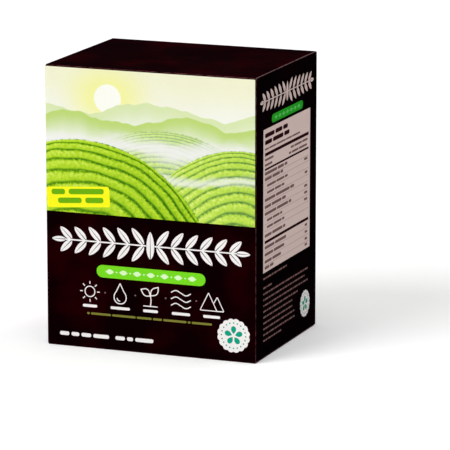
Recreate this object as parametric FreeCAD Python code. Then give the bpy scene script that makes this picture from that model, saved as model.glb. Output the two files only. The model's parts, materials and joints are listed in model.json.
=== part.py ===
"""A closed straight-tuck tea carton, folded and glued from one blank of paperboard.

Millimetres. +Z is up, the origin is the middle of the base, and the front panel faces -Y.
The two end panels fold back from the front panel and tuck in behind the back panel, over
dust flaps that fold in from the sides. The carton is shut, so it is one solid.
"""

import FreeCAD
import Part
import os

# Driving dimensions
WIDTH = 110.0  # across the front panel
DEPTH = 85.0  # front panel to back panel
HEIGHT = 140.0  # outside of the base end panel to the outside of the top one
BOARD = 0.45  # thickness of the paperboard
FOLD_RADIUS = 0.8  # outside of every creased fold
END_INSET = 0.5  # from a side panel's face in to the cut edge of an end panel
TUCK_GAP = 0.25  # slit between a tucked fold and the back panel
TUCK_DEPTH = 3.0  # how far that slit stays open, from the end panel's face

# Places that follow from them
SIDE_X = WIDTH / 2  # face of a side panel
FRONT_Y = -DEPTH / 2
BACK_Y = DEPTH / 2
END_X = SIDE_X - END_INSET  # cut edge of an end panel
WALL_Y = BACK_Y - BOARD  # inside of the back panel
TUCK_Y = WALL_Y - TUCK_GAP  # outside of a tucked fold
SEAM_X = BOARD - SIDE_X  # outside of the glue flap, behind the left panel
SEAM_Y = BACK_Y - FOLD_RADIUS  # cut edge of the left panel

OUT = "parts"
SAME_POINT = 1e-6


def in_plan(u, v):
    """A point seen from above: u is X and v is Y."""
    return FreeCAD.Vector(u, v, 0)


def in_front(u, v):
    """A point on the front face's plane: u is X and v is Z."""
    return FreeCAD.Vector(u, FRONT_Y, v)


def in_section(u, v):
    """A point on the plane of the end panels' left cut edges: u is Y and v is Z."""
    return FreeCAD.Vector(-END_X, u, v)


def outline(corners, place):
    """A closed wire through (u, v, radius) corners, each rounded by its radius."""
    points = [place(u, v) for u, v, _ in corners]
    edges = []
    ends = []
    for i, (_, _, radius) in enumerate(corners):
        point = points[i]
        back = (points[i - 1] - point).normalize()
        ahead = (points[(i + 1) % len(points)] - point).normalize()
        start, end = point + back * radius, point + ahead * radius
        if radius:
            centre = start + ahead * radius
            middle = centre + (point - centre).normalize() * radius
            edges.append(Part.Arc(start, middle, end).toShape())
        ends.append((start, end))
    for (_, end), (start, _) in zip(ends, ends[1:] + ends[:1]):
        if end.distanceToPoint(start) > SAME_POINT:
            edges.append(Part.LineSegment(end, start).toShape())
    return Part.Wire(Part.__sortEdges__(edges))


def prism(corners, place, sweep):
    """The outline swept to a solid."""
    return Part.Face(outline(corners, place)).extrude(sweep)


def four_panels():
    """Front, sides and back from above. At the back left corner the left panel's cut edge
    leaves a step of one board, where it is glued over the flap that folds from the back."""
    corners = [
        (-SIDE_X, FRONT_Y, FOLD_RADIUS),
        (SIDE_X, FRONT_Y, FOLD_RADIUS),
        (SIDE_X, BACK_Y, FOLD_RADIUS),
        (SEAM_X, BACK_Y, FOLD_RADIUS),
        (SEAM_X, SEAM_Y, 0),
        (-SIDE_X, SEAM_Y, 0),
    ]
    return prism(corners, in_plan, FreeCAD.Vector(0, 0, HEIGHT))


def dust_flap_block():
    """The sides with their flaps folded in, one board below each end panel's face."""
    low, high = BOARD, HEIGHT - BOARD
    corners = [
        (-SIDE_X, low, FOLD_RADIUS),
        (SIDE_X, low, FOLD_RADIUS),
        (SIDE_X, high, FOLD_RADIUS),
        (-SIDE_X, high, FOLD_RADIUS),
    ]
    return prism(corners, in_front, FreeCAD.Vector(0, DEPTH, 0))


def end_panel_block():
    """Both end panels, which fold from the front panel and turn down at the tuck."""
    corners = [
        (FRONT_Y, 0, FOLD_RADIUS),
        (TUCK_Y, 0, FOLD_RADIUS),
        (TUCK_Y, HEIGHT, FOLD_RADIUS),
        (FRONT_Y, HEIGHT, FOLD_RADIUS),
    ]
    return prism(corners, in_section, FreeCAD.Vector(2 * END_X, 0, 0))


def tuck_slit():
    """The open slit behind the top end panel's tucked fold, following the fold's round."""
    floor = HEIGHT - TUCK_DEPTH
    fold_start = in_section(TUCK_Y - FOLD_RADIUS, HEIGHT)
    fold_end = in_section(TUCK_Y, HEIGHT - FOLD_RADIUS)
    lean = FOLD_RADIUS * 0.5**0.5
    fold_middle = in_section(
        TUCK_Y - FOLD_RADIUS + lean, HEIGHT - FOLD_RADIUS + lean
    )
    straight = [
        fold_end,
        in_section(TUCK_Y, floor),
        in_section(WALL_Y, floor),
        in_section(WALL_Y, HEIGHT),
        fold_start,
    ]
    edges = [Part.Arc(fold_start, fold_middle, fold_end).toShape()]
    for start, end in zip(straight, straight[1:]):
        edges.append(Part.LineSegment(start, end).toShape())
    wire = Part.Wire(Part.__sortEdges__(edges))
    return Part.Face(wire).extrude(FreeCAD.Vector(2 * END_X, 0, 0))


def upside_down(shape):
    """The same feature at the other end of the carton."""
    middle = FreeCAD.Vector(0, 0, HEIGHT / 2)
    return shape.mirror(middle, FreeCAD.Vector(0, 0, 1))


def carton():
    top_slit = tuck_slit()
    body = dust_flap_block().fuse(end_panel_block()).common(four_panels())
    body = body.cut(top_slit).cut(upside_down(top_slit))
    return body.removeSplitter()


def main():
    os.makedirs(OUT, exist_ok=True)
    shape = carton()
    box = shape.BoundBox
    print(
        f"carton: {len(shape.Solids)} solid, valid {shape.isValid()}, "
        f"{box.XLength:.3f} x {box.YLength:.3f} x {box.ZLength:.3f} mm, "
        f"{shape.Volume / 1000:.2f} cm3, {len(shape.Faces)} faces"
    )
    shape.exportStep(f"{OUT}/carton.step")


main()
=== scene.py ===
"""The looks of a shut tea carton: folded board, printed fields and raw cut edges.

Metres, in the carton's own frame. The front panel faces -Y, the right side panel +X.
The carton is six pieces of board. Ink lies on them in thin layers, and everything is then
pressed in a little between the folds, as a filled carton is.
"""

import json
import math

import bmesh
import bpy
from mathutils import Matrix, Vector

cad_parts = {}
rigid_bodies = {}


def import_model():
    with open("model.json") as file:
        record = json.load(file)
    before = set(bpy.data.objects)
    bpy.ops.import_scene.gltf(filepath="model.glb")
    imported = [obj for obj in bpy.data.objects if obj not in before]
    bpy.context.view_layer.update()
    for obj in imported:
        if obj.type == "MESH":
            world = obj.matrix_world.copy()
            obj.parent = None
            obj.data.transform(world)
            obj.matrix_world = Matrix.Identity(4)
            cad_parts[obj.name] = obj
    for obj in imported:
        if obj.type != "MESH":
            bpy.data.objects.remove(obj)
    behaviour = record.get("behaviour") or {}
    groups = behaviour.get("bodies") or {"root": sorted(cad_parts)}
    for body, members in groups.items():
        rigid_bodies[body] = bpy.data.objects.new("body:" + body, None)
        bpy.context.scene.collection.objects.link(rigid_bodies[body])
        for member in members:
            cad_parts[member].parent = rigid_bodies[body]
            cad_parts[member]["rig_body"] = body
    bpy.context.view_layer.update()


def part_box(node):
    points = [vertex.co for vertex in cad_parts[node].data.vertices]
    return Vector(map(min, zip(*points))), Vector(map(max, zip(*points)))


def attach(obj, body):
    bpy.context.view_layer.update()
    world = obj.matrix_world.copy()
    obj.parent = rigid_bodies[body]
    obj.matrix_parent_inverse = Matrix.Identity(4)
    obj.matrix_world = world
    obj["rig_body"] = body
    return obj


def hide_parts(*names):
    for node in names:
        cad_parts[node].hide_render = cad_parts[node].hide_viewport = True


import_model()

MM = 0.001
LOW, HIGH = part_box("carton")
WIDTH, DEPTH, HEIGHT = HIGH - LOW
MIDDLE = (LOW + HIGH) / 2

# The board and its folds, as in the carton's construction
BOARD = 0.45 * MM
FOLD = 0.8 * MM
END_INSET = 0.5 * MM
TUCK_GAP = 0.25 * MM
END_X = WIDTH / 2 - END_INSET
WALL_Y = HIGH.y - BOARD
TUCK_Y = WALL_Y - TUCK_GAP
FOLD_STEPS = 8
TUCK_FLAP = 15 * MM
GLUE_FLAP = 14 * MM
DUST_FLAP = 36 * MM
FLAP_TAPER = 0.94
CORNER_CUT = 0.4 * MM
PANEL_CUTS = 23
PRESSED_IN = 0.22 * MM
CAGE_POINTS = 7
SMOOTH_UNDER = math.radians(30)

# Ink layers, each one's face above the board and its whole thickness
LAYER = 0.02 * MM
INK = 0.05 * MM
CURVE_STEPS = 10
CORNER_SHARE = 0.42  # a rounded bar's corner radius, in its own heights
WORD_SPACE = 0.6  # between two bars of a row, in their own heights
SPECULAR = 0.0001  # the print hardly shines
PICTURE_DOWN = 72.5  # how far the picture reaches down the front, mm

SAME_PLACE = 0.02 * MM  # an edge this near to a crease lies on it
MERGE = 0.0002 * MM  # points this near are made one

# The stage. The floor and the surround look brighter than the light they give.
FLOOR_SIZE = 24
FLOOR_LIFT = 0.20
SKY = 0.24
LAMP_WIDTH = math.radians(38)
LAMPS = (
    # name, the way towards it, strength
    ("key lamp", (-0.50, -0.72, 0.62), 0.62),
    ("top lamp", (0.05, -0.10, 1.0), 0.32),
    ("rear lamp", (0.55, 0.80, 0.55), 0.20),
)


# ---------------------------------------------------------------- modelling by hand


def take(piece):
    """Makes this piece the only selected one, and the active one."""
    if bpy.context.mode != "OBJECT":
        bpy.ops.object.mode_set(mode="OBJECT")
    bpy.ops.object.select_all(action="DESELECT")
    piece.select_set(True)
    bpy.context.view_layer.objects.active = piece


def edit(piece, kind="EDGE"):
    """Opens one piece in edit mode with nothing selected."""
    take(piece)
    bpy.ops.object.mode_set(mode="EDIT")
    bpy.ops.mesh.select_mode(type=kind)
    bpy.ops.mesh.select_all(action="DESELECT")


def done():
    """Leaves edit mode."""
    bpy.ops.object.mode_set(mode="OBJECT")


def apply_modifiers(piece):
    take(piece)
    for modifier in list(piece.modifiers):
        bpy.ops.object.modifier_apply(modifier=modifier.name)


def apply_place(piece):
    take(piece)
    bpy.ops.object.transform_apply(location=True, rotation=True, scale=True)


def pick_open_edges(piece, wanted):
    """Selects the open edges whose middle passes the test."""
    bpy.ops.mesh.select_all(action="DESELECT")
    mesh = bmesh.from_edit_mesh(piece.data)
    for edge in mesh.edges:
        middle = (edge.verts[0].co + edge.verts[1].co) / 2
        if edge.is_boundary and wanted(middle):
            edge.select_set(True)
    bmesh.update_edit_mesh(piece.data)


def fold(piece, wanted, centre, axis, angle):
    """Rounds the picked open edge over a crease. Spin counts its angle the other way."""
    pick_open_edges(piece, wanted)
    bpy.ops.mesh.spin(steps=FOLD_STEPS, angle=-angle, center=centre, axis=axis)


def flap(reach, taper=(1, 1, 1)):
    """Extends the edge that the last fold left selected, drawn in towards its end."""
    bpy.ops.mesh.extrude_region_move(TRANSFORM_OT_translate={"value": reach})
    bpy.ops.transform.resize(value=taper)


def cut_across(y):
    """Adds a row of edges across the open panel, square to its depth."""
    bpy.ops.mesh.select_all(action="SELECT")
    bpy.ops.mesh.bisect(plane_co=(0, y, 0), plane_no=(0, 1, 0))


def panel(name, centre, size, turn):
    """A subdivided flat panel whose face looks along +Z before it is turned."""
    bpy.ops.object.select_all(action="DESELECT")
    bpy.ops.mesh.primitive_plane_add(size=1, location=centre, rotation=turn)
    piece = bpy.context.object
    piece.name = name
    piece.scale = (size[0], size[1], 1)
    apply_place(piece)
    edit(piece)
    bpy.ops.mesh.select_all(action="SELECT")
    bpy.ops.mesh.subdivide(number_cuts=PANEL_CUTS)
    return piece


def near(a, b):
    return abs(a - b) < SAME_PLACE


# ---------------------------------------------------------------- the six boards


def thicken(piece):
    """Gives the folded sheet its board thickness, inwards, with raw core on the cut edges."""
    done()
    solid = piece.modifiers.new("board", "SOLIDIFY")
    solid.thickness = BOARD
    solid.offset = -1
    solid.use_even_offset = True
    solid.use_rim = True
    solid.material_offset = 1
    solid.material_offset_rim = 1
    return piece


def front_board():
    """The front panel with the upright folds at both of its sides."""
    size = (WIDTH - 2 * FOLD, HEIGHT - 2 * FOLD)
    piece = panel("front_board", (0, LOW.y, MIDDLE.z), size, (math.pi / 2, 0, 0))
    for side in (-1, 1):
        x = side * (WIDTH / 2 - FOLD)
        centre = (x, LOW.y + FOLD, 0)
        fold(piece, lambda p: near(p.x, x), centre, (0, 0, 1), side * math.pi / 2)
    return thicken(piece)


def back_board():
    """The back panel, its fold to the right side, and the glue flap under the left side."""
    left = LOW.x + BOARD + FOLD
    right = HIGH.x - FOLD
    size = (right - left, HEIGHT - 2 * BOARD)
    centre = ((left + right) / 2, HIGH.y, MIDDLE.z)
    piece = panel("back_board", centre, size, (math.pi / 2, 0, math.pi))
    y = HIGH.y - FOLD
    fold(piece, lambda p: near(p.x, right), (right, y, 0), (0, 0, 1), -math.pi / 2)
    fold(piece, lambda p: near(p.x, left), (left, y, 0), (0, 0, 1), math.pi / 2)
    flap((0, -GLUE_FLAP, 0), (1, 1, FLAP_TAPER))
    return thicken(piece)


def side_board(name, side):
    """A side panel with its two dust flaps. The left one ends in a cut edge at the seam."""
    face_x = side * WIDTH / 2
    size = (DEPTH - 2 * FOLD, HEIGHT - 2 * (BOARD + FOLD))
    turn = (math.pi / 2, 0, side * math.pi / 2)
    piece = panel(name, (face_x, 0, MIDDLE.z), size, turn)
    first, last = LOW.y + FOLD + CORNER_CUT, TUCK_Y - FOLD
    cut_across(first)
    cut_across(last)
    crease_x = face_x - side * FOLD
    for end in (-1, 1):
        z = MIDDLE.z + end * (HEIGHT / 2 - BOARD - FOLD)
        fold(
            piece,
            lambda p: near(p.z, z) and first < p.y < last,
            (crease_x, 0, z),
            (0, 1, 0),
            -side * end * math.pi / 2,
        )
        flap((-side * DUST_FLAP, 0, 0), (1, FLAP_TAPER, 1))
    return thicken(piece)


def end_board(name, end):
    """The lid or the base: folded from the front, across, and tucked in at the back."""
    face_z = MIDDLE.z + end * HEIGHT / 2
    first, last = LOW.y + FOLD, TUCK_Y - FOLD
    size = (2 * END_X, last - first)
    turn = (0 if end > 0 else math.pi, 0, 0)
    piece = panel(name, (0, (first + last) / 2, face_z), size, turn)
    z = face_z - end * FOLD
    fold(piece, lambda p: near(p.y, first), (0, first, z), (1, 0, 0), end * math.pi / 2)
    fold(piece, lambda p: near(p.y, last), (0, last, z), (1, 0, 0), -end * math.pi / 2)
    flap((0, 0, -end * TUCK_FLAP), (FLAP_TAPER, 1, 1))
    return thicken(piece)


# ---------------------------------------------------------------- drawing the ink
#
# Ink is drawn flat. x runs along a panel from its left edge and y up from its top edge,
# so a mark lies at negative y, and z is the way out of the board. Marks are given in mm,
# with v counted down from the top.

drawn = []  # every finished piece, in order
inks = {}  # each ink's material and slot, by the ink's name


def new_drawing(name):
    """An empty mesh to add printed shapes to, open in edit mode."""
    bpy.ops.object.select_all(action="DESELECT")
    bpy.ops.object.add(type="MESH")
    piece = bpy.context.object
    piece.name = name
    edit(piece, "VERT")
    return piece


def slab(u, v, length, height, columns, lines):
    """A plain grid centred on (u, v)."""
    place = (u * MM, -v * MM, 0)
    bpy.ops.mesh.primitive_grid_add(
        x_subdivisions=columns, y_subdivisions=lines, size=1, location=place
    )
    size = (length * MM, height * MM, 1)
    bpy.ops.transform.resize(value=size, center_override=place)


def bar(u, v, length, height, radius=None, turn=0.0, cuts=0):
    """A bar from u to the right, centred on v, with rounded corners."""
    slab(u + length / 2, v, length, height, 1 + cuts, 1)
    if turn:
        place = ((u + length / 2) * MM, -v * MM, 0)
        bpy.ops.transform.rotate(value=-turn, orient_axis="Z", center_override=place)
    if radius:
        pick_corners()
        bpy.ops.mesh.bevel(
            affect="VERTICES", offset=radius * MM, segments=4, clamp_overlap=True
        )


def pick_corners():
    """Keeps selected only the selected points that have two edges."""
    mesh = bmesh.from_edit_mesh(bpy.context.object.data)
    for vert in mesh.verts:
        if vert.select and len(vert.link_edges) != 2:
            vert.select_set(False)
    mesh.select_flush_mode()
    bmesh.update_edit_mesh(bpy.context.object.data)


def disc(u, v, radius, points):
    bpy.ops.mesh.primitive_circle_add(
        vertices=points,
        radius=radius * MM,
        fill_type="TRIFAN",
        location=(u * MM, -v * MM, 0),
    )


def words(u, v, lengths, height, gap=None):
    """Rounded bars in a row, as long as words would be."""
    gap = height * WORD_SPACE if gap is None else gap
    for length in lengths:
        bar(u, v, length, height, radius=height * CORNER_SHARE)
        u += length + gap


def new_curves(name, flat=True):
    """An empty curve object. A flat one is filled, the other draws lines."""
    data = bpy.data.curves.new(name, "CURVE")
    data.dimensions = "2D" if flat else "3D"
    data.fill_mode = "BOTH" if flat else "FULL"
    data.resolution_u = CURVE_STEPS
    piece = bpy.data.objects.new(name, data)
    bpy.context.collection.objects.link(piece)
    return piece


def outline(curves, points, closed=True):
    """Adds a spline through (x, y, sharp) points in mm. A sharp point keeps its corner."""
    spline = curves.data.splines.new("BEZIER")
    spline.bezier_points.add(len(points) - 1)
    spline.use_cyclic_u = closed
    for knot, (x, y, *sharp) in zip(spline.bezier_points, points):
        knot.co = (x * MM, y * MM, 0)
        kind = "VECTOR" if sharp and sharp[0] else "AUTO"
        knot.handle_left_type = kind
        knot.handle_right_type = kind


# A leaf: where its blade starts and how its edge bows and falls, in shares of its length
# and width, and then its midrib and the gap at its tip, in mm
LEAF_START = 0.04
LEAF_BOW = (0.22, 0.66)
LEAF_FALL = (0.80, 0.50)
LEAF_VEIN = 0.42
TIP_GAP = 0.08


def half_leaf(curves, base, angle, length, width, side):
    """Half of a leaf blade, on one side of its midrib, clear of its other half."""
    turn = Matrix.Rotation(angle, 2)

    def at(point):
        return (Vector(base) + turn @ point).to_3d() * MM

    start = Vector((length * LEAF_START, side * LEAF_VEIN / 2))
    tip = Vector((length, side * TIP_GAP / 2))
    bow = Vector((length * LEAF_BOW[0], side * width * LEAF_BOW[1]))
    fall = Vector((length * LEAF_FALL[0], side * width * LEAF_FALL[1]))
    spline = curves.data.splines.new("BEZIER")
    spline.bezier_points.add(1)
    spline.use_cyclic_u = True
    root, end = spline.bezier_points
    for knot in (root, end):
        knot.handle_left_type = "FREE"
        knot.handle_right_type = "FREE"
    root.co, end.co = at(start), at(tip)
    root.handle_right, end.handle_left = at(bow), at(fall)
    root.handle_left = at(start.lerp(tip, 0.3))
    end.handle_right = at(tip.lerp(start, 0.3))


def leaf(curves, base, angle, length, width):
    for side in (-1, 1):
        half_leaf(curves, base, angle, length, width, side)


def to_mesh(piece):
    """Turns drawn curves into a clean mesh."""
    take(piece)
    bpy.ops.object.convert(target="MESH")
    piece = bpy.context.object
    edit(piece, "VERT")
    bpy.ops.mesh.select_all(action="SELECT")
    bpy.ops.mesh.remove_doubles(threshold=MERGE)
    bpy.ops.mesh.dissolve_degenerate(threshold=MERGE)
    done()
    return piece


# Each face's turn about Z, and its upper left corner as seen from outside
FACES = {
    "front": (0.0, Vector((LOW.x, LOW.y, HIGH.z))),
    "right": (math.pi / 2, Vector((HIGH.x, LOW.y, HIGH.z))),
    "back": (math.pi, Vector((HIGH.x, HIGH.y, HIGH.z))),
    "left": (-math.pi / 2, Vector((LOW.x, HIGH.y, HIGH.z))),
}


def print_on(drawing, face, name, ink, layer=1):
    """Ends a flat drawing, and copies it onto a face as one thin closed layer of ink."""
    take(drawing)
    bpy.ops.object.duplicate()
    piece = bpy.context.object
    piece.name = f"{face}_{name}"
    if not piece.get("solid"):
        solid = piece.modifiers.new("ink", "SOLIDIFY")
        solid.thickness = INK
        solid.offset = -1
        apply_modifiers(piece)
    turn, corner = FACES[face]
    lift = Matrix.Translation((0, 0, layer * LAYER))
    stand = Matrix.Rotation(math.pi / 2, 4, "X")
    piece.matrix_world = (
        Matrix.Translation(corner) @ Matrix.Rotation(turn, 4, "Z") @ stand @ lift
    )
    apply_place(piece)
    edit(piece, "FACE")
    bpy.ops.mesh.select_all(action="SELECT")
    bpy.ops.mesh.normals_make_consistent(inside=False)
    done()
    material, slot = inks[ink]
    piece.data.materials.clear()
    piece.data.materials.append(material)
    finish_piece(piece)


def finish_piece(piece):
    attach(piece, "root")
    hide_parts("carton")
    drawn.append(piece)


# ---------------------------------------------------------------- printed motifs

# The sprig, from its middle outwards, in mm. Its leaves shrink and lean less towards the tips.
TITLE_LEAVES = 6
TITLE_SPACING = 7.6
TITLE_START = 3.2
TITLE_TIP = 3.2
LEAF_LENGTH = 10.6
LEAF_SHRINK = 0.35
LEAF_WIDTH = 3.9
LEAF_LEAN = 52
LEAN_STEP = 1.5
TIP_LEAF = (7.6, 3.0)
BUD_LENGTH, BUD_WIDTH = 14.4, 4.6
STEM_START = 2.2
STEM_SHORT = 1.6
STEM_WIDTH = 0.7


def draw_sprig():
    """A straight sprig that parts both ways from a bud in the middle."""
    leaves = new_curves("sprig")
    reach = TITLE_START + (TITLE_LEAVES - 1) * TITLE_SPACING
    for side in (-1, 1):
        for i in range(TITLE_LEAVES):
            along = side * (TITLE_START + i * TITLE_SPACING)
            length = LEAF_LENGTH - LEAF_SHRINK * i
            for up in (-1, 1):
                lean = math.radians(LEAF_LEAN - LEAN_STEP * i) * up
                angle = lean if side > 0 else math.pi - lean
                leaf(leaves, (along, 0), angle, length, LEAF_WIDTH)
        tip = side * (reach + TITLE_TIP)
        leaf(leaves, (tip, 0), 0 if side > 0 else math.pi, *TIP_LEAF)
    leaf(leaves, (0, -BUD_LENGTH / 2), math.pi / 2, BUD_LENGTH, BUD_WIDTH)
    drawing = to_mesh(leaves)
    edit(drawing, "VERT")
    stem = reach + TITLE_TIP - STEM_SHORT
    for side in (-1, 1):
        bar(STEM_START if side > 0 else -STEM_START - stem, 0, stem, STEM_WIDTH, cuts=7)
    done()
    return drawing


LOZENGES = 7
LOZENGE_PITCH = 7.2
LOZENGE_LENGTH, LOZENGE_HEIGHT = 4.6, 2.5
LOZENGE_DOT = 0.17  # a dot's radius, in heights of a lozenge


def draw_lozenges():
    """A chain of small leaf-shaped lozenges with dots between them."""
    chain = new_curves("lozenges")
    first = -(LOZENGES - 1) * LOZENGE_PITCH / 2
    for i in range(LOZENGES):
        x = first + i * LOZENGE_PITCH
        outline(
            chain,
            [
                (x - LOZENGE_LENGTH / 2, 0, True),
                (x, LOZENGE_HEIGHT / 2),
                (x + LOZENGE_LENGTH / 2, 0, True),
                (x, -LOZENGE_HEIGHT / 2),
            ],
        )
    drawing = to_mesh(chain)
    edit(drawing, "VERT")
    for i in range(LOZENGES - 1):
        disc(first + (i + 0.5) * LOZENGE_PITCH, 0, LOZENGE_HEIGHT * LOZENGE_DOT, 12)
    done()
    return drawing


def lines_to_ink(piece, stroke):
    """Turns drawn lines into flat closed strokes."""
    piece.data.bevel_depth = stroke / 2 * MM
    piece.data.bevel_resolution = 2
    piece.data.use_fill_caps = True
    take(piece)
    bpy.ops.object.convert(target="MESH")
    piece = bpy.context.object
    piece.scale = (1, 1, INK / (stroke * MM))
    apply_place(piece)
    edit(piece, "VERT")
    bpy.ops.mesh.select_all(action="SELECT")
    bpy.ops.mesh.remove_doubles(threshold=MERGE)
    done()
    piece["solid"] = True
    return piece


def oval(lines, x, y, wide, tall, start=0.0, sweep=2 * math.pi, knots=8):
    """An ellipse or part of one, by its full width and height."""
    closed = abs(sweep) >= 2 * math.pi
    count = knots if closed else knots + 1
    points = []
    for i in range(count):
        angle = start + sweep * i / knots
        points.append((x + wide / 2 * math.cos(angle), y + tall / 2 * math.sin(angle)))
    outline(lines, points, closed)


def draw_sun(lines, x, y):
    """A round sun with eight short rays."""
    oval(lines, x, y, 5.2, 5.2)
    for i in range(8):
        angle = math.radians(45 * i)
        across, up = math.cos(angle), math.sin(angle)
        outline(
            lines,
            [(x + 3.8 * across, y + 3.8 * up), (x + 5.2 * across, y + 5.2 * up)],
            False,
        )


def draw_drop(lines, x, y):
    """A drop with a curved glint low on one side."""
    half = [(1.7, 1.8), (3.2, -1.4), (2.3, -4.0)]
    points = [(x, y + 5.3, True)]
    points += [(x + dx, y + dy) for dx, dy in half]
    points += [(x, y - 4.9)]
    points += [(x - dx, y + dy) for dx, dy in reversed(half)]
    outline(lines, points)
    oval(lines, x, y - 1.6, 3.4, 4.0, math.radians(195), math.radians(75), 3)


def draw_sprout(lines, x, y):
    """A seedling with two unequal leaves, on a line of ground."""
    outline(lines, [(x, y - 4.8), (x + 0.3, y - 2.0), (x, y + 0.4)], False)
    outline(
        lines,
        [(x, y + 0.4, True), (x - 3.0, y + 0.5), (x - 5.0, y + 3.4, True), (x - 1.6, y + 3.6)],
    )
    outline(
        lines,
        [(x, y + 0.4, True), (x + 0.8, y + 3.6), (x + 4.2, y + 5.1, True), (x + 3.4, y + 1.6)],
    )
    outline(lines, [(x - 3.8, y - 4.8), (x + 3.8, y - 4.8)], False)


def draw_waves(lines, x, y):
    """Three level waves, one above the other."""
    for level in (-3.2, 0.0, 3.2):
        points = []
        for i, rise in enumerate((0.0, 1.1, 0.0, -1.1, 0.0)):
            points.append((x - 5.2 + 2.6 * i, y + level + rise))
        outline(lines, points, False)


def blunted(corners, cut_off=0.3):
    """Straight-sided outline with its corners cut, so that strokes meet cleanly."""
    points = []
    for i, corner in enumerate(corners):
        place = Vector(corner)
        back = (Vector(corners[i - 1]) - place).normalized()
        ahead = (Vector(corners[(i + 1) % len(corners)]) - place).normalized()
        for toward in (back, ahead):
            point = place + toward * cut_off
            points.append((point.x, point.y, True))
    return points


def draw_peaks(lines, x, y):
    """Two hilltops, the lower one behind."""
    foot = y - 4.2
    outline(lines, blunted([(x - 6.0, foot), (x - 1.6, y + 4.6), (x + 2.8, foot)]))
    behind = blunted([(x + 1.0, y - 0.6), (x + 2.9, y + 2.8), (x + 6.4, foot), (x + 2.4, foot)])
    outline(lines, behind[1:-1], False)


ICON_PLACES = (23.0, 39.0, 55.0, 71.0, 87.0)
ICON_DOWN = 111.4
ICON_STROKE = 0.55
ICON_LAYER = 1.6  # strokes are centred on their layer, while flat ink lies under its own


def draw_icons():
    """Five common figures in a row, drawn in line."""
    lines = new_curves("icons", flat=False)
    makers = (draw_sun, draw_drop, draw_sprout, draw_waves, draw_peaks)
    for make, u in zip(makers, ICON_PLACES):
        make(lines, u, -ICON_DOWN)
    return lines_to_ink(lines, ICON_STROKE)


LOBES = 16
LOBE_STEPS = 9
ROSETTE_DOTS = 20
# In radii of the rosette
LOBE_ROOT, LOBE_RISE = 0.93, 0.07
DOT_RING = 0.74
DOT_RADIUS = 0.045
BLOSSOM_REACH = 0.56


def draw_rosette(radius):
    """A round plate with a scalloped edge."""
    plate = new_curves("rosette")
    points = []
    for i in range(LOBES * LOBE_STEPS):
        angle = 2 * math.pi * i / (LOBES * LOBE_STEPS)
        bulge = abs(math.sin(LOBES * angle / 2))
        reach = radius * (LOBE_ROOT + LOBE_RISE * bulge)
        points.append((reach * math.cos(angle), reach * math.sin(angle), True))
    outline(plate, points)
    return to_mesh(plate)


def draw_blossom(radius):
    """Five rounded petals."""
    petals = new_curves("blossom")
    for i in range(5):
        turn = Matrix.Rotation(math.radians(90 + 72 * i), 2)
        points = []
        for x, y in ((0.16, 0.0), (0.62, 0.27), (0.95, 0.14), (0.95, -0.14), (0.62, -0.27)):
            place = turn @ Vector((x, y)) * radius
            points.append((place.x, place.y, x < 0.2))
        outline(petals, points)
    return to_mesh(petals)


# ---------------------------------------------------------------- node materials


def node_tree(owner):
    """The emptied node tree of a material or a world."""
    owner.use_nodes = True
    owner.node_tree.nodes.clear()
    return owner.node_tree


class Nodes:
    """Short ways to add nodes to one tree. A value is a socket or a number."""

    def __init__(self, tree):
        self.tree = tree

    def add(self, kind, **settings):
        node = self.tree.nodes.new(kind)
        for key, value in settings.items():
            setattr(node, key, value)
        return node

    def feed(self, socket, value):
        if isinstance(value, bpy.types.NodeSocket):
            self.tree.links.new(value, socket)
        elif value is not None:
            socket.default_value = value

    def math(self, operation, a, b=None, c=None, clamp=False):
        node = self.add("ShaderNodeMath", operation=operation, use_clamp=clamp)
        for socket, value in zip(node.inputs, (a, b, c)):
            self.feed(socket, value)
        return node.outputs[0]

    def step(self, value, start, end):
        """0 before start, 1 after end, and smooth between. Works both ways round."""
        node = self.add("ShaderNodeMapRange", interpolation_type="SMOOTHSTEP")
        flipped = isinstance(start, (int, float)) and start > end
        low, high = (end, start) if flipped else (start, end)
        self.feed(node.inputs["Value"], value)
        self.feed(node.inputs["From Min"], low)
        self.feed(node.inputs["From Max"], high)
        node.inputs["To Min"].default_value = 1.0 if flipped else 0.0
        node.inputs["To Max"].default_value = 0.0 if flipped else 1.0
        return node.outputs["Result"]

    def mix(self, factor, a, b):
        node = self.add("ShaderNodeMix", data_type="RGBA")
        self.feed(node.inputs[0], factor)
        self.feed(node.inputs[6], a)
        self.feed(node.inputs[7], b)
        return node.outputs[2]

    def noise(self, vector, scale, detail, roughness):
        node = self.add("ShaderNodeTexNoise")
        self.feed(node.inputs["Vector"], vector)
        node.inputs["Scale"].default_value = scale
        node.inputs["Detail"].default_value = detail
        node.inputs["Roughness"].default_value = roughness
        return node.outputs["Fac"]

    def coordinates(self):
        return self.add("ShaderNodeTexCoord").outputs["Object"]

    def split(self, vector):
        node = self.add("ShaderNodeSeparateXYZ")
        self.feed(node.inputs[0], vector)
        return node.outputs["X"], node.outputs["Y"], node.outputs["Z"]

    def join(self, x, y):
        node = self.add("ShaderNodeCombineXYZ")
        for socket, value in zip(node.inputs, (x, y)):
            self.feed(socket, value)
        return node.outputs[0]

    def group(self, tree, **values):
        node = self.add("ShaderNodeGroup")
        node.node_tree = tree
        for name, value in values.items():
            self.feed(node.inputs[name.replace("_", " ")], value)
        return node.outputs


def new_group(name, inputs, outputs):
    """A shader node group with named float or colour sockets."""
    tree = bpy.data.node_groups.new(name, "ShaderNodeTree")
    for label, kind, value in inputs:
        socket = tree.interface.new_socket(label, in_out="INPUT", socket_type=kind)
        if value is not None:
            socket.default_value = value
    for label, kind in outputs:
        tree.interface.new_socket(label, in_out="OUTPUT", socket_type=kind)
    nodes = Nodes(tree)
    start = nodes.add("NodeGroupInput")
    end = nodes.add("NodeGroupOutput")
    return tree, nodes, start.outputs, end.inputs


FLOAT, COLOR = "NodeSocketFloat", "NodeSocketColor"


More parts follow.
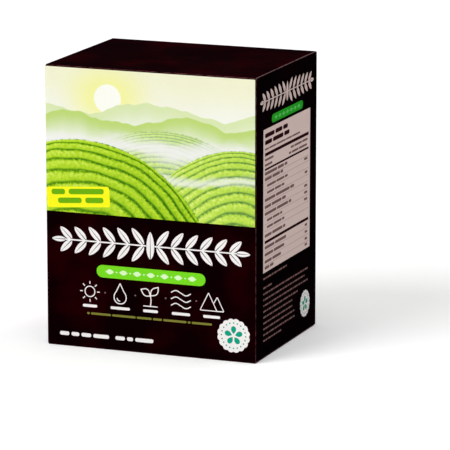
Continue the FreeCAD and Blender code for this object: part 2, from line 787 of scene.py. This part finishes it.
def rgb(red, green, blue):
    """A screen colour of 0 to 255 as a linear colour."""
    linear = []
    for value in (red, green, blue):
        value /= 255
        linear.append(value / 12.92 if value <= 0.04045 else ((value + 0.055) / 1.055) ** 2.4)
    return (*linear, 1.0)


def make_print_group():
    """Printed board: ink that varies with the fibres below it, and an uneven varnish."""
    tree, n, given, result = new_group(
        "Printed Board",
        [("Ink", COLOR, None), ("Fibre Show", FLOAT, 0.1), ("Roughness", FLOAT, 0.5)],
        [("Color", COLOR), ("Roughness", FLOAT), ("Height", FLOAT)],
    )
    place = n.coordinates()
    long_fibres = n.add("ShaderNodeMapping")
    long_fibres.inputs["Scale"].default_value = (1.0, 1.0, 0.35)
    n.feed(long_fibres.inputs["Vector"], place)
    fibres = n.noise(long_fibres.outputs[0], 2600, 3, 0.6)
    cloud = n.noise(place, 55, 3, 0.55)
    speck = n.noise(place, 5200, 1, 0.5)
    uneven = n.math("ADD", n.math("MULTIPLY", fibres, 0.6), n.math("MULTIPLY", cloud, 0.4))
    shift = n.math("MULTIPLY", n.math("SUBTRACT", uneven, 0.5), given["Fibre Show"])
    shade = n.math("ADD", 1.0, n.math("MULTIPLY", shift, 2.0))
    tint = n.add("ShaderNodeVectorMath", operation="SCALE")
    n.feed(tint.inputs[0], given["Ink"])
    n.feed(tint.inputs["Scale"], shade)
    n.feed(result["Color"], tint.outputs[0])
    rough = n.math("MULTIPLY", n.math("SUBTRACT", cloud, 0.5), 0.22)
    rough = n.math("ADD", rough, n.math("MULTIPLY", n.math("SUBTRACT", fibres, 0.5), 0.12))
    n.feed(result["Roughness"], n.math("ADD", given["Roughness"], rough, clamp=True))
    relief = n.math("ADD", n.math("MULTIPLY", fibres, 0.7), n.math("MULTIPLY", speck, 0.3))
    n.feed(result["Height"], relief)
    return tree


def make_wear_and_highlight_group():
    """How rubbed the surface is on the crown of each fold. The mask also lays a painted highlight
    along every fold.
    """
    tree, n, given, result = new_group(
        "Fold Wear And Highlight",
        [("Amount", FLOAT, 1.0)],
        [("Mask", FLOAT)],
    )
    place = n.coordinates()
    x, y, z = n.split(place)
    reach = []
    for value, half, centre in ((x, WIDTH / 2, 0.0), (y, DEPTH / 2, 0.0), (z, HEIGHT / 2, MIDDLE.z)):
        from_middle = n.math("ABSOLUTE", n.math("SUBTRACT", value, centre))
        reach.append(n.math("SUBTRACT", from_middle, half - FOLD))
    pairs = [n.math("MINIMUM", reach[a], reach[b]) for a, b in ((0, 1), (1, 2), (0, 2))]
    crown = n.math("MAXIMUM", n.math("MAXIMUM", pairs[0], pairs[1]), pairs[2])
    ragged = n.math("SUBTRACT", n.noise(place, 1100, 3, 0.6), 0.5)
    crown = n.math("MULTIPLY_ADD", ragged, 0.5 * FOLD, crown)
    crown = n.step(crown, 0.34 * FOLD, 0.66 * FOLD)
    patches = n.step(n.noise(place, 420, 4, 0.65), 0.30, 0.62)
    scuffs = n.step(n.noise(place, 2400, 3, 0.6), 0.34, 0.60)
    rub = n.math("MULTIPLY", patches, n.math("MULTIPLY_ADD", scuffs, 0.5, 0.5))
    n.feed(result["Mask"], n.math("MULTIPLY", n.math("MULTIPLY", crown, rub), given["Amount"]))
    return tree


def ellipse(n, u, v, centre, half, tilt=0.0):
    """Distance from an ellipse in its own radii: under 1 inside, over 1 outside."""
    du = n.math("SUBTRACT", u, centre[0])
    dv = n.math("SUBTRACT", v, centre[1])
    c, s = math.cos(tilt), math.sin(tilt)
    along = n.math("ADD", n.math("MULTIPLY", du, c / half[0]), n.math("MULTIPLY", dv, s / half[0]))
    up = n.math("ADD", n.math("MULTIPLY", du, -s / half[1]), n.math("MULTIPLY", dv, c / half[1]))
    square = n.math("ADD", n.math("MULTIPLY", along, along), n.math("MULTIPLY", up, up))
    return n.math("SQRT", square)


SUN_PLACE = (33.0, 15.0)
SUN_RADIUS = 7.0
GLOW = (30.0, 22.0)
HILL_TONES = (
    (0.0, rgb(44, 104, 18)),
    (0.28, rgb(104, 156, 24)),
    (0.52, rgb(158, 202, 34)),
    (0.78, rgb(196, 228, 62)),
    (1.0, rgb(230, 242, 150)),
)
HAZE = rgb(244, 245, 238)


def picture_sky(n, u, v):
    """A cream sky that pales downwards, with a low round sun in a yellow glow."""
    slow = n.noise(n.join(u, v), 0.03, 1, 0.5)
    down = n.math("MULTIPLY_ADD", slow, 12.0, v)
    sky = n.mix(n.step(down, 8.0, 36.0), rgb(240, 240, 208), HAZE)
    glow = ellipse(n, u, v, SUN_PLACE, GLOW)
    sky = n.mix(n.math("MULTIPLY", n.step(glow, 1.0, 0.15), 0.7), sky, rgb(244, 244, 120))
    sun = ellipse(n, u, v, SUN_PLACE, (SUN_RADIUS, SUN_RADIUS))
    return n.mix(n.step(sun, 1.05, 0.97), sky, rgb(250, 250, 240))


def far_ridge(n, colour, u, v, crest, swing, pitch, tint):
    """A bare ridge in the distance that melts into mist at its foot."""
    roll = n.math("SINE", n.math("MULTIPLY", u, 2 * math.pi / pitch))
    drift = n.noise(n.join(u, 0.0), 0.06, 2, 0.5)
    line = n.math("MULTIPLY_ADD", roll, swing, crest)
    line = n.math("MULTIPLY_ADD", n.math("SUBTRACT", drift, 0.5), 9.0, line)
    under = n.math("SUBTRACT", v, line)
    ridge = n.mix(n.step(under, 0.0, 17.0), tint, HAZE)
    return n.mix(n.step(under, -0.25, 0.25), colour, ridge)


def tea_hill(n, colour, u, v, centre, half, rows, haze, tilt=0.0):
    """A round hill with clipped hedges along its contours, lit from the left."""
    place = n.join(u, v)
    clumps = n.math("SUBTRACT", n.noise(place, 0.62, 3, 0.68), 0.5)
    wander = n.math("SUBTRACT", n.noise(place, 0.035, 2, 0.5), 0.5)
    reach = ellipse(n, u, v, centre, half, tilt)
    edge = n.math("MULTIPLY_ADD", clumps, 0.022, reach)
    inside = n.math("MAXIMUM", n.math("SUBTRACT", 1.0, reach), 0.0)
    level = n.math("MULTIPLY", n.math("POWER", inside, 0.66), rows)
    level = n.math("MULTIPLY_ADD", wander, 1.4, level)
    level = n.math("MULTIPLY_ADD", clumps, 0.28, level)
    across = n.math("FRACT", level)
    hedge = n.math("MULTIPLY", across, n.math("SUBTRACT", 1.0, across))
    hedge = n.step(hedge, 0.03, 0.21)
    tone = n.math("MULTIPLY_ADD", hedge, 0.44, 0.14)
    tone = n.math("MULTIPLY_ADD", n.step(across, 0.95, 0.25), 0.16, tone)
    tone = n.math("MULTIPLY_ADD", clumps, 0.95, tone)
    side = n.math("DIVIDE", n.math("SUBTRACT", u, centre[0]), half[0])
    tone = n.math("MULTIPLY_ADD", side, -0.20, tone)

    ramp = n.add("ShaderNodeValToRGB")
    while len(ramp.color_ramp.elements) < len(HILL_TONES):
        ramp.color_ramp.elements.new(0.5)
    for element, (position, value) in zip(ramp.color_ramp.elements, HILL_TONES):
        element.position = position
        element.color = value
    n.feed(ramp.inputs[0], tone)
    field = n.mix(haze, ramp.outputs["Color"], HAZE)
    return n.mix(n.step(edge, 1.004, 0.996), colour, field)


def valley_mist(n, colour, u, v, down, depth, strength):
    """A white bank of mist across the valley."""
    billow = n.noise(n.join(n.math("MULTIPLY", u, 0.45), v), 0.075, 3, 0.55)
    place = n.math("MULTIPLY_ADD", n.math("SUBTRACT", billow, 0.5), 16.0, v)
    bank = n.math("MULTIPLY", n.step(place, down - depth, down), n.step(place, down + depth, down))
    return n.mix(n.math("MULTIPLY", bank, strength), colour, rgb(240, 240, 237))


def picture_colour(n):
    """The whole picture's colour and its mask, the same on the front and the back."""
    x, y, z = n.split(n.coordinates())
    facing = n.math("SIGN", y)
    u = n.math("MULTIPLY", n.math("SUBTRACT", WIDTH / 2, n.math("MULTIPLY", facing, x)), 1000.0)
    v = n.math("MULTIPLY", n.math("SUBTRACT", HIGH.z, z), 1000.0)
    colour = picture_sky(n, u, v)
    layers = (
        (far_ridge, dict(crest=19.0, swing=3.0, pitch=74.0, tint=rgb(216, 230, 176))),
        (far_ridge, dict(crest=24.5, swing=-2.6, pitch=58.0, tint=rgb(190, 216, 118))),
        (tea_hill, dict(centre=(62.0, 90.0), half=(64.0, 61.0), rows=22.0, haze=0.26, tilt=0.05)),
        (valley_mist, dict(down=38.0, depth=7.5, strength=0.92)),
        (tea_hill, dict(centre=(103.0, 102.0), half=(60.0, 66.0), rows=15.0, haze=0.06)),
        (valley_mist, dict(down=52.0, depth=4.5, strength=0.72)),
        (tea_hill, dict(centre=(18.0, 114.0), half=(74.0, 78.0), rows=12.0, haze=0.0)),
    )
    for paint, measures in layers:
        colour = paint(n, colour, u, v, **measures)
    across = WIDTH * 1000
    mask = n.math("MULTIPLY", n.step(u, 0.20, 0.24), n.step(u, across - 0.62, across - 0.68))
    mask = n.math("MULTIPLY", mask, n.step(v, PICTURE_DOWN + 0.04, PICTURE_DOWN - 0.04))
    return colour, mask


def surface(n, colour, roughness, height, specular, bump, distance=0.03 * MM):
    """The shader at the end of a material."""
    shader = n.add("ShaderNodeBsdfPrincipled")
    shader.inputs["Specular IOR Level"].default_value = specular
    n.feed(shader.inputs["Base Color"], colour)
    n.feed(shader.inputs["Roughness"], roughness)
    relief = n.add("ShaderNodeBump")
    relief.inputs["Strength"].default_value = bump
    relief.inputs["Distance"].default_value = distance
    n.feed(relief.inputs["Height"], height)
    n.feed(shader.inputs["Normal"], relief.outputs[0])
    out = n.add("ShaderNodeOutputMaterial")
    n.feed(out.inputs["Surface"], shader.outputs[0])


DARK_INK = rgb(11, 0, 2)
CLOUD_INK = rgb(29, 0, 2)
# Painted shade: the two side panels get darker copies of the same dark inks
SHADED_SIDE_INK = rgb(5, 1, 2)
SHADED_SIDE_CLOUD_INK = rgb(10, 1, 3)
# Lighter red-brown on the fold crowns: partly rubbed ink, partly a painted highlight along the folds
WORN_AND_HIGHLIGHT_INK = rgb(118, 66, 68)


def dark_print(n, groups, ink, cloud):
    """Near-black ink with faint clouds, rubbed on the folds and with a painted highlight along them.
    """
    tone = n.noise(n.coordinates(), 38, 3, 0.6)
    ink = n.mix(n.step(tone, 0.42, 0.72), ink, cloud)
    # rubbed ink and a painted highlight on the fold crowns
    worn_and_highlit = n.group(groups["wear_and_highlight"], Amount=0.75)["Mask"]
    return n.mix(worn_and_highlit, ink, WORN_AND_HIGHLIGHT_INK)


def make_dark_board(name, groups, ink, cloud, with_picture=False):
    """Printed board, dark all over or with the picture on it."""
    material = bpy.data.materials.new(name)
    n = Nodes(node_tree(material))
    ink = dark_print(n, groups, ink, cloud)
    if with_picture:
        colour, mask = picture_colour(n)
        ink = n.mix(mask, ink, colour)
    out = n.group(groups["print"], Ink=ink, Fibre_Show=0.05, Roughness=0.52)
    surface(n, out["Color"], out["Roughness"], out["Height"], SPECULAR, 0.35)
    return material


# The spot colours: each one's colour, how much board fibre shows through, and its slot
INKS = {
    "pale lime": (rgb(218, 246, 190), 0.1, "white_print"),
    "white": (rgb(240, 236, 235), 0.05, "white_print"),
    "lime": (rgb(118, 216, 36), 0.1, "lime_print"),
    "green": (rgb(40, 160, 40), 0.1, "lime_print"),
    "pale green": (rgb(96, 196, 96), 0.1, "lime_print"),
    "leaf green": (rgb(108, 176, 22), 0.1, "lime_print"),
    "yellow": (rgb(252, 248, 34), 0.04, "yellow_print"),
    "teal": (rgb(20, 158, 128), 0.1, "teal_print"),
    "olive": (rgb(122, 122, 52), 0.2, "olive_print"),
    "facts": (rgb(221, 198, 192), 0.05, "facts_print"),
    "small": (rgb(126, 96, 94), 0.3, "facts_print"),
    "dim": (rgb(112, 96, 96), 0.2, "facts_print"),
    "black": (rgb(44, 14, 20), 0.1, "dark_board"),
    "grey": (rgb(120, 94, 92), 0.2, "dark_board"),
    "rule": (rgb(176, 152, 146), 0.1, "dark_board"),
}


def make_ink(name, groups):
    """A printed spot colour over the dark board."""
    material = bpy.data.materials.new(f"{name} ink")
    n = Nodes(node_tree(material))
    colour, fibre, _ = INKS[name]
    out = n.group(groups["print"], Ink=colour, Fibre_Show=fibre, Roughness=0.5)
    surface(n, out["Color"], out["Roughness"], out["Height"], SPECULAR, 0.30)
    return material


def make_core():
    """Raw board where it is cut: grey-brown, matt, in thin plies."""
    material = bpy.data.materials.new("cut board")
    n = Nodes(node_tree(material))
    place = n.coordinates()
    plies = n.noise(place, 1700, 4, 0.65)
    blotches = n.noise(place, 300, 3, 0.6)
    colour = n.mix(n.step(plies, 0.35, 0.7), rgb(92, 58, 60), rgb(140, 106, 104))
    colour = n.mix(n.step(blotches, 0.5, 0.72), colour, rgb(70, 36, 42))
    relief = n.math("ADD", n.math("MULTIPLY", plies, 0.7), n.math("MULTIPLY", blotches, 0.3))
    rough = n.math("MULTIPLY_ADD", blotches, 0.2, 0.78)
    surface(n, colour, rough, relief, 0.2, 0.8, 0.05 * MM)
    return material


# ---------------------------------------------------------------- the panels' print


def draw_bars(name, rows_of_bars):
    """A mesh of bars from (u, v, lengths, height) rows."""
    drawing = new_drawing(name)
    for u, v, lengths, height in rows_of_bars:
        words(u, v, lengths, height)
    done()
    return drawing


# Rows of bars on the front: the captions, the line at the foot, and the tagline
CAPTION_DOWN = 118.6
FOOT_DOWN = 133.6
CAPTION_BARS = (
    # u, v, word lengths, height
    (19.2, CAPTION_DOWN, (7.6,), 1.4),
    (33.9, CAPTION_DOWN, (10.2,), 1.4),
    (51.1, CAPTION_DOWN, (7.8,), 1.4),
    (66.2, CAPTION_DOWN, (9.6,), 1.4),
    (82.6, CAPTION_DOWN, (8.8,), 1.4),
    (6.8, FOOT_DOWN, (5.0, 4.2, 5.2, 8.4), 1.9),
    (36.4, FOOT_DOWN, (5.0, 3.2, 9.6), 1.9),
)
TAGLINE_BARS = ((21.4, 122.4, (1.4, 10.6, 12.4, 7.8, 4.8, 12.2, 1.4, 10.6), 1.1),)
LABEL_TILT = math.radians(4.0)
LABEL_BAR = 2.7
LABEL_SPACE = 0.7


def front_print(face, motifs):
    """All the ink on the front, and again on the back."""
    title = placed_copy(motifs["sprig"], u=55.0, v=86.2)
    print_on(title, face, "title_sprig", "white")
    pill = new_drawing("pill")
    bar(u=26.6, v=100.7, length=57.2, height=6.3, radius=3.1, cuts=11)
    print_on(pill, face, "pill", "lime")
    chain = placed_copy(motifs["lozenges"], u=55.2, v=100.7)
    print_on(chain, face, "pill_leaves", "pale lime", 2)
    print_icons(face, motifs)
    captions = draw_bars("captions", CAPTION_BARS)
    print_on(captions, face, "caption_bars", "white")
    tagline = draw_bars("tagline", TAGLINE_BARS)
    print_on(tagline, face, "tagline_bars", "olive")
    print_label(face)
    print_rosette(face, u=98.4, v=126.9, radius=8.5)


def print_icons(face, motifs):
    """The row of figures, with a dot between each two."""
    print_on(motifs["icons"], face, "icons", "white", ICON_LAYER)
    dots = new_drawing("dots")
    for left, right in zip(ICON_PLACES, ICON_PLACES[1:]):
        disc((left + right) / 2, ICON_DOWN, 0.45, 16)
    print_on(dots, face, "icon_dots", "dim")


def print_label(face):
    """A tilted yellow label with two rows of bars."""
    label = new_drawing("label")
    bar(u=0.4, v=64.6, length=33.4, height=10.2, radius=1.2, turn=LABEL_TILT, cuts=5)
    print_on(label, face, "label", "yellow")
    rows = new_drawing("label rows")
    tilted_words(3.0, 63.1, (7.2, 18.6))
    tilted_words(6.4, 67.5, (12.6, 9.6))
    print_on(rows, face, "label_bars", "leaf green", 2)


def tilted_words(u, v, lengths):
    """Rounded bars in a row that climbs as the label does."""
    for length in lengths:
        middle = u + length / 2
        down = v - middle * math.sin(LABEL_TILT)
        bar(u, down, length, LABEL_BAR, LABEL_BAR * CORNER_SHARE, LABEL_TILT)
        u += length + LABEL_BAR * LABEL_SPACE


def print_rosette(face, u, v, radius):
    """A scalloped white rosette with a blossom in a ring of dots."""
    plate = placed_copy(draw_rosette(radius), u, v)
    print_on(plate, face, "rosette", "white")
    dots = new_drawing("rosette dots")
    ring = radius * DOT_RING
    for i in range(ROSETTE_DOTS):
        angle = 2 * math.pi * i / ROSETTE_DOTS
        disc(u + ring * math.cos(angle), v + ring * math.sin(angle), radius * DOT_RADIUS, 12)
    print_on(dots, face, "rosette_dots", "teal", 2)
    blossom = placed_copy(draw_blossom(radius * BLOSSOM_REACH), u, v)
    print_on(blossom, face, "rosette_blossom", "teal", 2)


def placed_copy(drawing, u, v, size=1.0):
    """A copy of a motif drawn about its middle, scaled and moved to (u, v)."""
    take(drawing)
    bpy.ops.object.duplicate()
    piece = bpy.context.object
    piece.location = (u * MM, -v * MM, 0)
    piece.scale = (size, size, 1)
    apply_place(piece)
    return piece


FACT_ROWS = (
    # v, indent, word lengths, value length
    (48.8, 0.0, (17.0, 8.6, 4.0), 0.0),
    (51.6, 0.0, (9.6, 10.4, 3.6), 4.6),
    (55.0, 3.0, (12.4, 11.0, 4.0), 0.0),
    (58.4, 3.0, (10.2, 8.6, 4.0), 3.8),
    (61.8, 0.0, (14.6, 19.2, 5.4), 0.0),
    (65.2, 0.0, (8.8, 13.6, 5.2), 4.4),
    (68.6, 0.0, (16.2, 15.4, 3.8), 4.4),
    (72.0, 3.0, (7.4, 9.6, 3.0), 4.4),
    (75.4, 3.0, (8.6, 11.0, 3.4), 0.0),
    (79.4, 0.0, (9.6, 14.2, 3.2), 0.0),
)
TOTAL_ROWS = (
    (85.2, 0.0, (13.6, 15.4), 3.4),
    (88.7, 0.0, (11.8, 14.6), 3.4),
    (92.2, 0.0, (9.8, 12.0), 3.4),
    (95.2, 0.0, (6.4, 5.0), 3.4),
)
FACT_LEFT, FACT_TOP = 9.75, 26.9
FACT_WIDE, FACT_BOTTOM = 65.5, 97.3
FACT_MARGIN = 2.1
VALUE_MARGIN = 3.6
HEAVY_RULES = ((39.4, 1.6), (46.7, 1.0), (82.5, 1.4))
THIN_RULE = 0.22
RULE_BELOW = 1.7


def facts_print(face, mirror_rows):
    """The pale table of facts with its rules and rows."""
    middle = (FACT_TOP + FACT_BOTTOM) / 2
    start = FACT_LEFT + FACT_MARGIN
    end = FACT_LEFT + FACT_WIDE - VALUE_MARGIN
    rule = FACT_WIDE - 2 * FACT_MARGIN
    plate = new_drawing("facts")
    slab(FACT_LEFT + FACT_WIDE / 2, middle, FACT_WIDE, FACT_BOTTOM - FACT_TOP, 8, 8)
    print_on(plate, face, "facts_table", "facts")

    bold = new_drawing("bold")
    words(start, 30.2, (13.2, 9.6, 6.4), height=2.1, gap=1.2)
    words(start, 33.6, (9.8, 14.6, 7.2), height=2.1, gap=1.2)
    for v, height in HEAVY_RULES:
        bar(start, v, rule, height, cuts=7)
    print_on(bold, face, "facts_bold", "black", 2)

    text = new_drawing("text")
    words(start, 36.8, (5.4, 9.6, 12.8, 8.0, 11.0), height=0.9)
    words(start, 42.0, (11.8,), height=1.1)
    words(start, 44.6, (10.2,), height=1.1)
    words(FACT_LEFT + 38.0, 42.0, (4.6, 10.4, 7.6), height=1.1)
    words(FACT_LEFT + 35.6, 44.6, (3.4, 9.2, 11.6), height=1.1)
    for v, indent, lengths, value in FACT_ROWS + TOTAL_ROWS:
        order = lengths[::-1] if mirror_rows else lengths
        words(start + indent, v, order, height=1.2 if indent else 1.45)
        if value:
            bar(end - value, v, value, height=1.2, radius=0.4)
    print_on(text, face, "facts_rows", "grey", 2)

    thin = new_drawing("thin rules")
    for rows in (FACT_ROWS, TOTAL_ROWS):
        for v, *_ in rows[:-1]:
            bar(start, v + RULE_BELOW, rule, THIN_RULE, cuts=7)
    print_on(thin, face, "facts_rules", "rule", 2)


WORD_LENGTHS = (3.2, 1.5, 4.6, 2.4, 3.8, 1.2, 5.2, 2.8, 1.8, 4.1, 2.1)
WORD_GAP = 0.8
PARAGRAPH_LEFT = 10.0
PARAGRAPH_BAR = 0.85
PARAGRAPH = (
    # down from the top, how far the line reaches
    (100.2, 36.0),
    (104.8, 14.0),
    (107.8, 63.0),
    (110.7, 61.0),
    (113.6, 64.0),
    (116.5, 50.0),
    (119.4, 45.0),
    (122.3, 45.0),
    (125.2, 44.0),
    (128.1, 46.0),
    (131.0, 25.0),
)


def small_print(v, reach, first):
    """One line of short bars of uneven length, from the given one on."""
    u = PARAGRAPH_LEFT
    end = u + reach
    i = first
    while u + WORD_LENGTHS[i % len(WORD_LENGTHS)] <= end:
        length = WORD_LENGTHS[i % len(WORD_LENGTHS)]
        bar(u, v, length, PARAGRAPH_BAR)
        u += length + WORD_GAP
        i += 1


def side_print(face, motifs, mirror_rows=False):
    """The smaller sprig and pill, the table, the paragraph and a small rosette."""
    title = placed_copy(motifs["sprig"], u=42.6, v=13.3, size=0.72)
    print_on(title, face, "title_sprig", "facts")
    pill = new_drawing("side pill")
    bar(u=21.2, v=23.3, length=43.6, height=4.2, radius=2.05, cuts=9)
    print_on(pill, face, "pill", "green")
    chain = placed_copy(motifs["lozenges"], u=43.0, v=23.3, size=0.74)
    print_on(chain, face, "pill_leaves", "pale green", 2)
    facts_print(face, mirror_rows)
    paragraph = new_drawing("paragraph")
    for i, (v, reach) in enumerate(PARAGRAPH):
        small_print(v, reach, first=4 * i + (2 if mirror_rows else 0))
    print_on(paragraph, face, "paragraph_bars", "small")
    print_rosette(face, u=68.75, v=125.2, radius=6.9)


# ---------------------------------------------------------------- settling the panels


def press_in(pieces):
    """Presses every face in a little between its folds, boards and ink together."""
    bpy.ops.object.select_all(action="DESELECT")
    bpy.ops.object.add(type="LATTICE", location=MIDDLE)
    cage = bpy.context.object
    cage.scale = (WIDTH, DEPTH, HEIGHT)
    data = cage.data
    data.points_u = data.points_v = data.points_w = CAGE_POINTS
    for axis in ("u", "v", "w"):
        setattr(data, f"interpolation_type_{axis}", "KEY_CATMULL_ROM")
    for point in data.points:
        place = 2 * point.co
        moved = point.co.copy()
        for axis, size in enumerate((WIDTH, DEPTH, HEIGHT)):
            others = [place[i] for i in range(3) if i != axis]
            on_face = abs(place[axis]) > 0.99
            if on_face:
                give = (1 - others[0] ** 2) * (1 - others[1] ** 2)
                moved[axis] -= math.copysign(PRESSED_IN / size * give, place[axis])
        point.co_deform = moved
    for piece in pieces:
        squeeze = piece.modifiers.new("pressed in", "LATTICE")
        squeeze.object = cage
        apply_modifiers(piece)
    bpy.data.objects.remove(cage)


# ---------------------------------------------------------------- stage


def make_camera():
    """Almost level, from the right of the front, far away through a long lens."""
    azimuth, elevation = math.radians(21.27), math.radians(12.31)
    distance, aside, lowered = 12.653 * HEIGHT, 20.9 * MM, 13.9 * MM
    back = Vector(
        (
            math.sin(azimuth) * math.cos(elevation),
            -math.cos(azimuth) * math.cos(elevation),
            math.sin(elevation),
        )
    )
    turn = (-back).to_track_quat("-Z", "Y")
    right, up = turn @ Vector((1, 0, 0)), turn @ Vector((0, 1, 0))
    bpy.ops.object.camera_add()
    camera = bpy.context.object
    camera.data.lens = 286.4
    camera.data.sensor_width = 36
    camera.data.clip_end = 30
    camera.rotation_mode = "QUATERNION"
    camera.rotation_quaternion = turn
    camera.location = MIDDLE + back * distance + right * aside - up * lowered
    bpy.context.scene.camera = camera


def soft_sun(name, direction, strength):
    """A far, very wide lamp, so that the floor is lit as evenly as the carton."""
    toward = Vector(direction).normalized()
    bpy.ops.object.light_add(type="SUN", location=MIDDLE + toward)
    lamp = bpy.context.object
    lamp.name = name
    lamp.rotation_euler = toward.to_track_quat("Z", "Y").to_euler()
    lamp.data.angle = LAMP_WIDTH
    lamp.data.energy = strength * math.pi


def seen_directly(n, *rays):
    """1 where the stage itself is looked at, and 0 where it only gives light."""
    path = n.add("ShaderNodeLightPath")
    seen = path.outputs["Is Camera Ray"]
    for ray in rays:
        seen = n.math("MAXIMUM", seen, path.outputs[ray])
    return seen


def make_floor():
    """A pale matt floor that takes the carton's shadow."""
    bpy.ops.object.select_all(action="DESELECT")
    bpy.ops.mesh.primitive_plane_add(size=FLOOR_SIZE, location=(0, 0, LOW.z))
    floor = bpy.context.object
    floor.name = "floor"
    material = bpy.data.materials.new("floor")
    n = Nodes(node_tree(material))
    shader = n.add("ShaderNodeBsdfPrincipled")
    shader.inputs["Base Color"].default_value = (0.90, 0.90, 0.90, 1)
    shader.inputs["Roughness"].default_value = 1.0
    shader.inputs["Specular IOR Level"].default_value = 0.0
    shader.inputs["Emission Color"].default_value = (1, 1, 1, 1)
    lift = n.math("MULTIPLY", seen_directly(n, "Is Glossy Ray"), FLOOR_LIFT)
    n.feed(shader.inputs["Emission Strength"], lift)
    out = n.add("ShaderNodeOutputMaterial")
    n.feed(out.inputs["Surface"], shader.outputs[0])
    floor.data.materials.append(material)


def make_surround():
    """A white surround that gives less light than it shows."""
    world = bpy.data.worlds.new("surround")
    bpy.context.scene.world = world
    n = Nodes(node_tree(world))
    seen = seen_directly(n, "Is Glossy Ray", "Is Transmission Ray")
    sky = n.add("ShaderNodeBackground")
    sky.inputs["Color"].default_value = (1, 1, 1, 1)
    n.feed(sky.inputs["Strength"], n.math("MULTIPLY_ADD", seen, 1.0 - SKY, SKY))
    out = n.add("ShaderNodeOutputWorld")
    n.feed(out.inputs["Surface"], sky.outputs[0])


# ---------------------------------------------------------------- the whole carton


def make_boards(groups):
    """The six boards, printed on the outside and raw where they are cut."""
    dark = make_dark_board("dark board", groups, DARK_INK, CLOUD_INK)
    # the side panels' material is a darker copy of the dark board: painted shade
    side = make_dark_board("shaded side board", groups, SHADED_SIDE_INK, SHADED_SIDE_CLOUD_INK)
    picture = make_dark_board("picture print", groups, DARK_INK, CLOUD_INK, True)
    core = make_core()
    boards = (
        (front_board(), picture, "picture_print"),
        (back_board(), picture, "picture_print"),
        (side_board("right_board", 1), side, "dark_board"),
        (side_board("left_board", -1), side, "dark_board"),
        (end_board("lid_board", 1), dark, "dark_board"),
        (end_board("base_board", -1), dark, "dark_board"),
    )
    for piece, material, slot in boards:
        piece.data.materials.append(material)
        piece.data.materials.append(core)
        apply_modifiers(piece)
        bpy.ops.object.shade_smooth_by_angle(angle=SMOOTH_UNDER)
        finish_piece(piece)


def make_print(groups):
    """The ink on the four upright faces."""
    for name, (_, _, slot) in INKS.items():
        inks[name] = (make_ink(name, groups), slot)
    motifs = {"sprig": draw_sprig(), "lozenges": draw_lozenges(), "icons": draw_icons()}
    front_print("front", motifs)
    front_print("back", motifs)
    side_print("right", motifs)
    side_print("left", motifs, mirror_rows=True)


def drop_drawings():
    """Removes the flat drawings that the ink was copied from."""
    for item in list(bpy.data.objects):
        if item.type in ("MESH", "CURVE") and "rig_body" not in item and item.name != "floor":
            bpy.data.objects.remove(item)


def main():
    bpy.context.scene.view_settings.view_transform = "Standard"
    make_camera()
    make_floor()
    make_surround()
    for name, direction, strength in LAMPS:
        soft_sun(name, direction, strength)
    groups = {"print": make_print_group(), "wear_and_highlight": make_wear_and_highlight_group()}
    make_boards(groups)
    make_print(groups)
    drop_drawings()
    press_in(drawn)


main()
